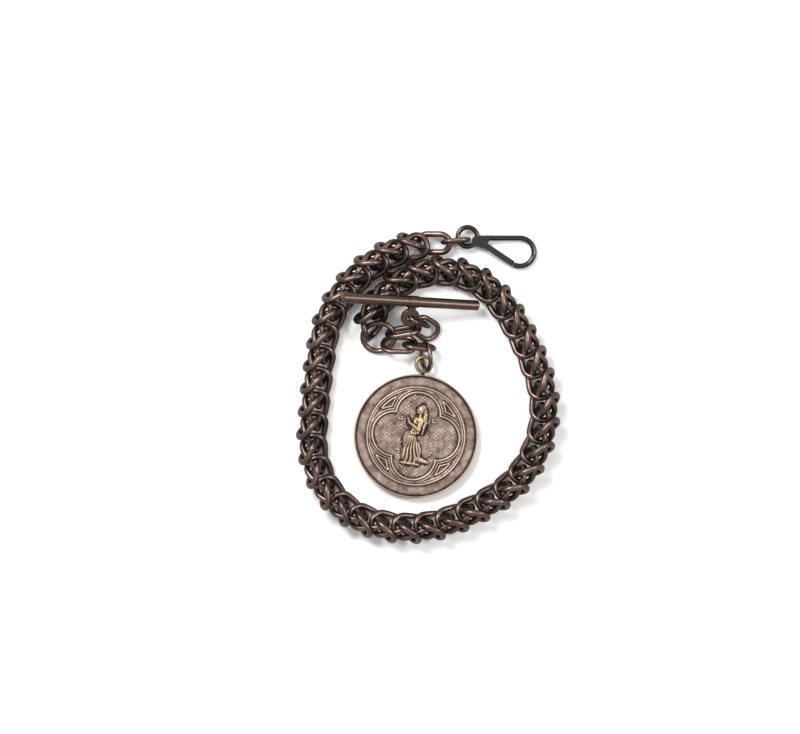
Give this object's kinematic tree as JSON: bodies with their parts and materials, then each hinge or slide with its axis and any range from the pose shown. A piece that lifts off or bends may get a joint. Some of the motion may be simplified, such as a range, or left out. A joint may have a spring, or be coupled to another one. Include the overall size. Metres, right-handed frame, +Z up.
{
  "type": "pocket watch fob",
  "caption": "Watch fob chain of doubled curb rings with a spring clip at one end and, at the other, a toggle bar and a round relief medal on plain links.",
  "frame": {"origin": "middle of the medal's back, on the surface that the fob lies on", "axes": "+Z up out of the medal's face, +Y towards the toggle bar (top of the picture), +X to the right"},
  "size_m": [0.0738, 0.0892, 0.0159],
  "materials": {
    "bronze_chain": "oxidised, rubbed on the high sides",
    "toggle_bronze": "oxidised satin",
    "medal_bronze": "struck relief, dark ground with gilt high spots",
    "gilt_loop": "worn gilding",
    "blued_steel": "dark polished",
    "spring_steel": "bare spring strip"
  },
  "bodies": {
    "medal": {"medal_disc": "medal_bronze", "medal_loop": "gilt_loop"},
    "medal_ring": {"medal_ring": "bronze_chain"},
    "medal_link_2": {"medal_link_2": "bronze_chain"},
    "medal_link_1": {"medal_link_1": "bronze_chain"},
    "hub_ring": {"hub_ring": "bronze_chain"},
    "toggle_link_1": {"toggle_link_1": "bronze_chain"},
    "toggle_link_2": {"toggle_link_2": "bronze_chain"},
    "toggle_link_3": {"toggle_link_3": "bronze_chain"},
    "toggle_collar": {"toggle_collar": "toggle_bronze"},
    "toggle_bar": {"toggle_bar": "toggle_bronze"},
    "chain_link_39": {"chain_link_39": "bronze_chain"},
    "chain_link_38": {"chain_link_38": "bronze_chain"},
    "chain_link_37": {"chain_link_37": "bronze_chain"},
    "chain_link_36": {"chain_link_36": "bronze_chain"},
    "chain_link_35": {"chain_link_35": "bronze_chain"},
    "chain_link_34": {"chain_link_34": "bronze_chain"},
    "chain_link_33": {"chain_link_33": "bronze_chain"},
    "chain_link_32": {"chain_link_32": "bronze_chain"},
    "chain_link_31": {"chain_link_31": "bronze_chain"},
    "chain_link_30": {"chain_link_30": "bronze_chain"},
    "chain_link_29": {"chain_link_29": "bronze_chain"},
    "chain_link_28": {"chain_link_28": "bronze_chain"},
    "chain_link_27": {"chain_link_27": "bronze_chain"},
    "chain_link_26": {"chain_link_26": "bronze_chain"},
    "chain_link_25": {"chain_link_25": "bronze_chain"},
    "chain_link_24": {"chain_link_24": "bronze_chain"},
    "chain_link_23": {"chain_link_23": "bronze_chain"},
    "chain_link_22": {"chain_link_22": "bronze_chain"},
    "chain_link_21": {"chain_link_21": "bronze_chain"},
    "chain_link_20": {"chain_link_20": "bronze_chain"},
    "chain_link_19": {"chain_link_19": "bronze_chain"},
    "chain_link_18": {"chain_link_18": "bronze_chain"},
    "chain_link_17": {"chain_link_17": "bronze_chain"},
    "chain_link_16": {"chain_link_16": "bronze_chain"},
    "chain_link_15": {"chain_link_15": "bronze_chain"},
    "chain_link_14": {"chain_link_14": "bronze_chain"},
    "chain_link_13": {"chain_link_13": "bronze_chain"},
    "chain_link_12": {"chain_link_12": "bronze_chain"},
    "chain_link_11": {"chain_link_11": "bronze_chain"},
    "chain_link_10": {"chain_link_10": "bronze_chain"},
    "chain_link_09": {"chain_link_09": "bronze_chain"},
    "chain_link_08": {"chain_link_08": "bronze_chain"},
    "chain_link_07": {"chain_link_07": "bronze_chain"},
    "chain_link_06": {"chain_link_06": "bronze_chain"},
    "chain_link_05": {"chain_link_05": "bronze_chain"},
    "chain_link_04": {"chain_link_04": "bronze_chain"},
    "chain_link_03": {"chain_link_03": "bronze_chain"},
    "chain_link_02": {"chain_link_02": "bronze_chain"},
    "chain_link_01": {"chain_link_01": "bronze_chain"},
    "chain_end_link": {"chain_end_link": "bronze_chain"},
    "clip_ring": {"clip_ring": "blued_steel"},
    "clip": {"clip_body": "blued_steel", "clip_rivet": "blued_steel"},
    "gate": {"clip_gate": "blued_steel", "clip_spring": "spring_steel"}
  },
  "joints": [
    {"name": "medal_ring_swing", "type": "hinge", "parent": "medal", "child": "medal_ring", "pos_m": [0.00256, 0.02115, 0.0036], "axis": [1, 0, 0], "range_deg": [-1, 1.5]},
    {"name": "medal_link_2_swing", "type": "hinge", "parent": "medal_ring", "child": "medal_link_2", "pos_m": [0.00189, 0.02365, 0.004], "axis": [1, 0, 0], "range_deg": [0, 6]},
    {"name": "medal_link_1_swing", "type": "hinge", "parent": "medal_link_2", "child": "medal_link_1", "pos_m": [-0.00185, 0.02528, 0.00301], "axis": [1, 0, 0], "range_deg": [0, 6]},
    {"name": "hub_ring_swing", "type": "hinge", "parent": "medal_link_1", "child": "hub_ring", "pos_m": [-0.00752, 0.0266, 0.00266], "axis": [1, 0, 0], "range_deg": [0, 6]},
    {"name": "toggle_link_1_swing", "type": "hinge", "parent": "hub_ring", "child": "toggle_link_1", "pos_m": [-0.00693, 0.02843, 0.00309], "axis": [1, 0, 0], "range_deg": [0, 6]},
    {"name": "toggle_link_2_swing", "type": "hinge", "parent": "toggle_link_1", "child": "toggle_link_2", "pos_m": [-0.0004, 0.02968, 0.00315], "axis": [1, 0, 0], "range_deg": [0, 6]},
    {"name": "toggle_link_3_swing", "type": "hinge", "parent": "toggle_link_2", "child": "toggle_link_3", "pos_m": [0.00172, 0.03113, 0.00383], "axis": [1, 0, 0], "range_deg": [-1, 3]},
    {"name": "collar_swing", "type": "hinge", "parent": "toggle_link_3", "child": "toggle_collar", "pos_m": [-0.00156, 0.03315, 0.0072], "axis": [1, 0, 0], "range_deg": [-1.5, 6]},
    {"name": "bar_turn", "type": "hinge", "parent": "toggle_collar", "child": "toggle_bar", "pos_m": [-0.00078, 0.03746, 0.00915], "axis": [0.9621, -0.0538, -0.2672], "range_deg": [-170, 170]},
    {"name": "chain_link_39_bend", "type": "hinge", "parent": "hub_ring", "child": "chain_link_39", "pos_m": [-0.0134, 0.0294, 0.00487], "axis": [0, 0, 1], "range_deg": [0, 2]},
    {"name": "chain_link_38_bend", "type": "hinge", "parent": "chain_link_39", "child": "chain_link_38", "pos_m": [-0.01128, 0.03528, 0.00487], "axis": [0, 0, 1], "range_deg": [0, 2]},
    {"name": "chain_link_37_bend", "type": "hinge", "parent": "chain_link_38", "child": "chain_link_37", "pos_m": [-0.00749, 0.04024, 0.00487], "axis": [0, 0, 1], "range_deg": [0, 2]},
    {"name": "chain_link_36_bend", "type": "hinge", "parent": "chain_link_37", "child": "chain_link_36", "pos_m": [-0.00236, 0.04383, 0.00487], "axis": [0, 0, 1], "range_deg": [0, 2]},
    {"name": "chain_link_35_bend", "type": "hinge", "parent": "chain_link_36", "child": "chain_link_35", "pos_m": [0.0036, 0.0457, 0.00487], "axis": [0, 0, 1], "range_deg": [0, 0.5]},
    {"name": "chain_link_34_bend", "type": "hinge", "parent": "chain_link_35", "child": "chain_link_34", "pos_m": [0.00985, 0.04572, 0.00487], "axis": [0, 0, 1], "range_deg": [0, 0.5]},
    {"name": "chain_link_33_bend", "type": "hinge", "parent": "chain_link_34", "child": "chain_link_33", "pos_m": [0.01583, 0.04389, 0.00487], "axis": [0, 0, 1], "range_deg": [0, 0.5]},
    {"name": "chain_link_32_bend", "type": "hinge", "parent": "chain_link_33", "child": "chain_link_32", "pos_m": [0.02099, 0.04038, 0.00487], "axis": [0, 0, 1], "range_deg": [0, 0.5]},
    {"name": "chain_link_31_bend", "type": "hinge", "parent": "chain_link_32", "child": "chain_link_31", "pos_m": [0.0249, 0.03549, 0.00487], "axis": [0, 0, 1], "range_deg": [-0.6, 0]},
    {"name": "chain_link_30_bend", "type": "hinge", "parent": "chain_link_31", "child": "chain_link_30", "pos_m": [0.02821, 0.03019, 0.00487], "axis": [0, 0, 1], "range_deg": [-0.6, 0]},
    {"name": "chain_link_29_bend", "type": "hinge", "parent": "chain_link_30", "child": "chain_link_29", "pos_m": [0.03104, 0.02463, 0.00487], "axis": [0, 0, 1], "range_deg": [-0.6, 0]},
    {"name": "chain_link_28_bend", "type": "hinge", "parent": "chain_link_29", "child": "chain_link_28", "pos_m": [0.03338, 0.01883, 0.00487], "axis": [0, 0, 1], "range_deg": [-0.6, 0]},
    {"name": "chain_link_27_bend", "type": "hinge", "parent": "chain_link_28", "child": "chain_link_27", "pos_m": [0.03521, 0.01285, 0.00487], "axis": [0, 0, 1], "range_deg": [-0.6, 0]},
    {"name": "chain_link_26_bend", "type": "hinge", "parent": "chain_link_27", "child": "chain_link_26", "pos_m": [0.03571, 0.00662, 0.00487], "axis": [0, 0, 1], "range_deg": [-0.6, 0]},
    {"name": "chain_link_25_bend", "type": "hinge", "parent": "chain_link_26", "child": "chain_link_25", "pos_m": [0.03487, 0.00043, 0.00487], "axis": [0, 0, 1], "range_deg": [-0.6, 0]},
    {"name": "chain_link_24_bend", "type": "hinge", "parent": "chain_link_25", "child": "chain_link_24", "pos_m": [0.03271, -0.00543, 0.00487], "axis": [0, 0, 1], "range_deg": [-0.6, 0]},
    {"name": "chain_link_23_bend", "type": "hinge", "parent": "chain_link_24", "child": "chain_link_23", "pos_m": [0.02934, -0.0107, 0.00487], "axis": [0, 0, 1], "range_deg": [-0.6, 0]},
    {"name": "chain_link_22_bend", "type": "hinge", "parent": "chain_link_23", "child": "chain_link_22", "pos_m": [0.02492, -0.01512, 0.00487], "axis": [0, 0, 1], "range_deg": [-0.6, 0]},
    {"name": "chain_link_21_bend", "type": "hinge", "parent": "chain_link_22", "child": "chain_link_21", "pos_m": [0.01965, -0.01849, 0.00487], "axis": [0, 0, 1], "range_deg": [0, 1]},
    {"name": "chain_link_20_bend", "type": "hinge", "parent": "chain_link_21", "child": "chain_link_20", "pos_m": [0.01412, -0.02139, 0.00487], "axis": [0, 0, 1], "range_deg": [0, 1]},
    {"name": "chain_link_19_bend", "type": "hinge", "parent": "chain_link_20", "child": "chain_link_19", "pos_m": [0.00836, -0.02381, 0.00487], "axis": [0, 0, 1], "range_deg": [0, 5]},
    {"name": "chain_link_18_bend", "type": "hinge", "parent": "chain_link_19", "child": "chain_link_18", "pos_m": [0.00225, -0.02514, 0.00487], "axis": [0, 0, 1], "range_deg": [0, 5]},
    {"name": "chain_link_17_bend", "type": "hinge", "parent": "chain_link_18", "child": "chain_link_17", "pos_m": [-0.00399, -0.02534, 0.00487], "axis": [0, 0, 1], "range_deg": [0, 5]},
    {"name": "chain_link_16_bend", "type": "hinge", "parent": "chain_link_17", "child": "chain_link_16", "pos_m": [-0.01017, -0.0244, 0.00487], "axis": [0, 0, 1], "range_deg": [0, 5]},
    {"name": "chain_link_15_bend", "type": "hinge", "parent": "chain_link_16", "child": "chain_link_15", "pos_m": [-0.01607, -0.02234, 0.00487], "axis": [0, 0, 1], "range_deg": [0, 5]},
    {"name": "chain_link_14_bend", "type": "hinge", "parent": "chain_link_15", "child": "chain_link_14", "pos_m": [-0.02119, -0.01875, 0.00487], "axis": [0, 0, 1], "range_deg": [0, 5]},
    {"name": "chain_link_13_bend", "type": "hinge", "parent": "chain_link_14", "child": "chain_link_13", "pos_m": [-0.02512, -0.01389, 0.00487], "axis": [0, 0, 1], "range_deg": [0, 5]},
    {"name": "chain_link_12_bend", "type": "hinge", "parent": "chain_link_13", "child": "chain_link_12", "pos_m": [-0.02757, -0.00814, 0.00487], "axis": [0, 0, 1], "range_deg": [0, 5]},
    {"name": "chain_link_11_bend", "type": "hinge", "parent": "chain_link_12", "child": "chain_link_11", "pos_m": [-0.02865, -0.00198, 0.00487], "axis": [0, 0, 1], "range_deg": [0, 5]},
    {"name": "chain_link_10_bend", "type": "hinge", "parent": "chain_link_11", "child": "chain_link_10", "pos_m": [-0.02829, 0.00426, 0.00487], "axis": [0, 0, 1], "range_deg": [0, 1.5]},
    {"name": "chain_link_09_bend", "type": "hinge", "parent": "chain_link_10", "child": "chain_link_09", "pos_m": [-0.02775, 0.01048, 0.00487], "axis": [0, 0, 1], "range_deg": [0, 1.5]},
    {"name": "chain_link_08_bend", "type": "hinge", "parent": "chain_link_09", "child": "chain_link_08", "pos_m": [-0.02705, 0.01669, 0.00487], "axis": [0, 0, 1], "range_deg": [0, 1.5]},
    {"name": "chain_link_07_bend", "type": "hinge", "parent": "chain_link_08", "child": "chain_link_07", "pos_m": [-0.02617, 0.02288, 0.00487], "axis": [0, 0, 1], "range_deg": [0, 1.5]},
    {"name": "chain_link_06_bend", "type": "hinge", "parent": "chain_link_07", "child": "chain_link_06", "pos_m": [-0.02511, 0.02904, 0.00487], "axis": [0, 0, 1], "range_deg": [0, 5]},
    {"name": "chain_link_05_bend", "type": "hinge", "parent": "chain_link_06", "child": "chain_link_05", "pos_m": [-0.02293, 0.0349, 0.00487], "axis": [0, 0, 1], "range_deg": [0, 5]},
    {"name": "chain_link_04_bend", "type": "hinge", "parent": "chain_link_05", "child": "chain_link_04", "pos_m": [-0.01971, 0.04025, 0.00487], "axis": [0, 0, 1], "range_deg": [0, 5]},
    {"name": "chain_link_03_bend", "type": "hinge", "parent": "chain_link_04", "child": "chain_link_03", "pos_m": [-0.01554, 0.04491, 0.00487], "axis": [0, 0, 1], "range_deg": [0, 5]},
    {"name": "chain_link_02_bend", "type": "hinge", "parent": "chain_link_03", "child": "chain_link_02", "pos_m": [-0.01058, 0.04872, 0.00487], "axis": [0, 0, 1], "range_deg": [0, 5]},
    {"name": "chain_link_01_bend", "type": "hinge", "parent": "chain_link_02", "child": "chain_link_01", "pos_m": [-0.005, 0.05153, 0.00487], "axis": [0, 0, 1], "range_deg": [0, 5]},
    {"name": "end_link_bend", "type": "hinge", "parent": "chain_link_01", "child": "chain_end_link", "pos_m": [0.00158, 0.05316, 0.00345], "axis": [0, 0, 1], "range_deg": [-4, 6]},
    {"name": "clip_ring_bend", "type": "hinge", "parent": "chain_end_link", "child": "clip_ring", "pos_m": [0.00816, 0.05423, 0.00265], "axis": [0, 0, 1], "range_deg": [-6, 2]},
    {"name": "clip_swing", "type": "hinge", "parent": "clip_ring", "child": "clip", "pos_m": [0.01283, 0.05509, 0.00276], "axis": [0, 0, 1], "range_deg": [-6, 3]},
    {"name": "gate_hinge", "type": "hinge", "parent": "clip", "child": "gate", "pos_m": [0.01882, 0.0537, 0.00195], "axis": [0.0698, 0, 0.9976], "range_deg": [-18, 0]}
  ]
}
